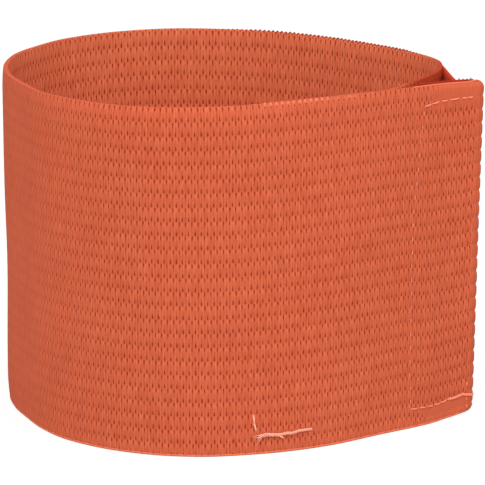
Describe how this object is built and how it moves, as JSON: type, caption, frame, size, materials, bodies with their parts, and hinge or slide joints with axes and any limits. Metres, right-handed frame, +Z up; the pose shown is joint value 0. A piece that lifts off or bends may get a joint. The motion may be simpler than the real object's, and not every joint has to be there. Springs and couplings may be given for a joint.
{
  "type": "elastic armband",
  "caption": "Wide ribbed elastic armband rolled into an open oval cuff, with an overlapping stitched flap and hook and loop closure tapes.",
  "frame": {"origin": "middle of the box around the object, on the surface that its lower edge stands on", "axes": "+X across the loop towards the closing flap, +Y from the front wall to the back wall, +Z up through the arm opening"},
  "size_m": [0.0964, 0.0852, 0.07],
  "materials": {
    "elastic": "matte ribbed woven elastic, orange red",
    "hook_tape": "matte closure tape, dark red",
    "loop_tape": "matte closure tape, dark red"
  },
  "bodies": {
    "root": {"elastic_band": "elastic", "hook_tape": "hook_tape", "loop_tape": "loop_tape"}
  },
  "joints": []
}
